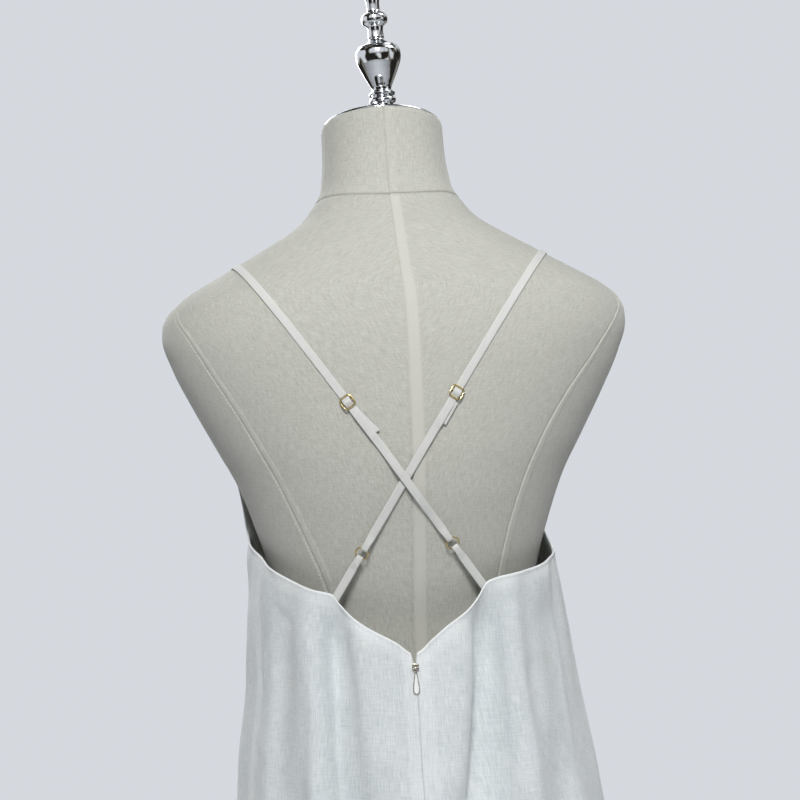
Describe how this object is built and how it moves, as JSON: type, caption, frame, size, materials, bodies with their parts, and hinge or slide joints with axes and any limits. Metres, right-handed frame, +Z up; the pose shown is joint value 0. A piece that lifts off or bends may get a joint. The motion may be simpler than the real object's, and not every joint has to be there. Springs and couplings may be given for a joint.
{
  "type": "camisole dress on a dress form",
  "caption": "White linen A-line camisole dress with crossed adjustable back straps and a back zip, hanging on a limbless dress form on a stand.",
  "frame": {"origin": "centre of the stand's base, on the floor", "axes": "+Z up, -Y the front of the dress, +Y its back, +X the wearer's left"},
  "size_m": [0.5583, 0.4391, 1.5794],
  "materials": {
    "white_linen": "plain-woven, matt",
    "strap_linen": "narrow turned strap, matt",
    "form_cover": "coarse natural linen cover",
    "chrome_plate": "polished",
    "gold_metal": "polished pale gold",
    "pull_enamel": "white enamel with a gold edge",
    "base_paint": "satin powder coat"
  },
  "bodies": {
    "dress": {"front_panel": "white_linen", "back_panel_left": "white_linen", "back_panel_right": "white_linen", "strap_left": "strap_linen", "strap_right": "strap_linen", "tab_left": "strap_linen", "tab_right": "strap_linen", "ring_left": "gold_metal", "ring_right": "gold_metal", "slider_left": "gold_metal", "slider_right": "gold_metal", "zip_tape": "white_linen", "zip_slider": "gold_metal", "form_body": "form_cover", "form_neck": "form_cover", "neck_plate": "chrome_plate", "finial": "chrome_plate", "pole": "chrome_plate", "base": "base_paint"},
    "pull": {"zip_pull": "pull_enamel"}
  },
  "joints": [
    {"name": "zip_pull_hinge", "type": "hinge", "parent": "dress", "child": "pull", "pos_m": [0.0041, 0.0896, 1.0188], "axis": [1, 0, 0], "range_deg": [0, 150]}
  ]
}
